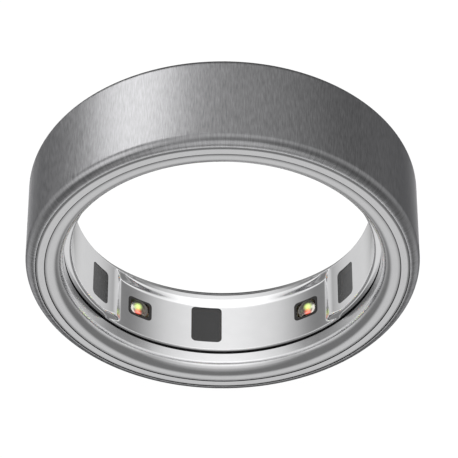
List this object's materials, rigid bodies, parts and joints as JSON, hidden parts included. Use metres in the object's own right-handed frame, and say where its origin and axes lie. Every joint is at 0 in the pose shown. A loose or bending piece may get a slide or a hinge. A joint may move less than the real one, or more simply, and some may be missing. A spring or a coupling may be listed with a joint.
{
  "type": "smart ring",
  "caption": "Smart finger ring with a brushed metal band, polished rims and a recessed row of optical sensors in its inner liner.",
  "frame": {"origin": "centre of the finger hole, midway between the rims", "axes": "+Y along the finger hole towards the rear rim, +Z away from the sensors, +X to the right seen from the front rim"},
  "size_m": [0.0268, 0.0078, 0.0268],
  "materials": {
    "brushed_titanium": "brushed along the ring's axis",
    "polished_titanium": "polished",
    "polished_liner": "polished",
    "dark_sealant": "satin",
    "smoked_window": "smooth, smoked",
    "clear_resin": "clear, domed",
    "black_resin": "satin black",
    "silicon": "smooth dark silicon",
    "board_white": "white board",
    "green_die": "smooth",
    "red_die": "smooth",
    "infrared_die": "smooth",
    "chip_package": "moulded black",
    "polyimide": "amber film",
    "stiffener_steel": "rolled",
    "crystal_can": "nickel plated lid",
    "ceramic_capacitor": "fired ceramic",
    "ceramic_antenna": "fired ceramic",
    "copper_winding": "enamelled copper",
    "ferrite": "dark sintered sheet",
    "cell_foil": "laminated foil",
    "nickel_strip": "nickel strip"
  },
  "bodies": {
    "root": {"outer_band": "brushed_titanium", "front_end_ring": "polished_titanium", "rear_end_ring": "polished_titanium", "inner_liner": "polished_liner", "front_seal": "dark_sealant", "rear_seal": "dark_sealant", "photodiode_window_left": "smoked_window", "photodiode_window_middle": "smoked_window", "photodiode_window_right": "smoked_window", "led_window_left": "clear_resin", "led_window_right": "clear_resin", "light_barrier_left": "black_resin", "light_barrier_right": "black_resin", "photodiode_left": "silicon", "photodiode_middle": "silicon", "photodiode_right": "silicon", "led_board_left": "board_white", "led_board_right": "board_white", "green_emitters": "green_die", "red_emitters": "red_die", "infrared_emitters": "infrared_die", "temperature_sensor": "chip_package", "flex_circuit": "polyimide", "flex_stiffener": "stiffener_steel", "processor": "chip_package", "memory_chip": "chip_package", "power_chip": "chip_package", "motion_sensor": "chip_package", "sensor_driver": "chip_package", "clock_crystal": "crystal_can", "capacitors": "ceramic_capacitor", "antenna": "ceramic_antenna", "protection_chip": "chip_package", "charging_coil": "copper_winding", "ferrite_sheet": "ferrite", "battery_cell": "cell_foil", "battery_tabs": "nickel_strip"}
  },
  "joints": []
}
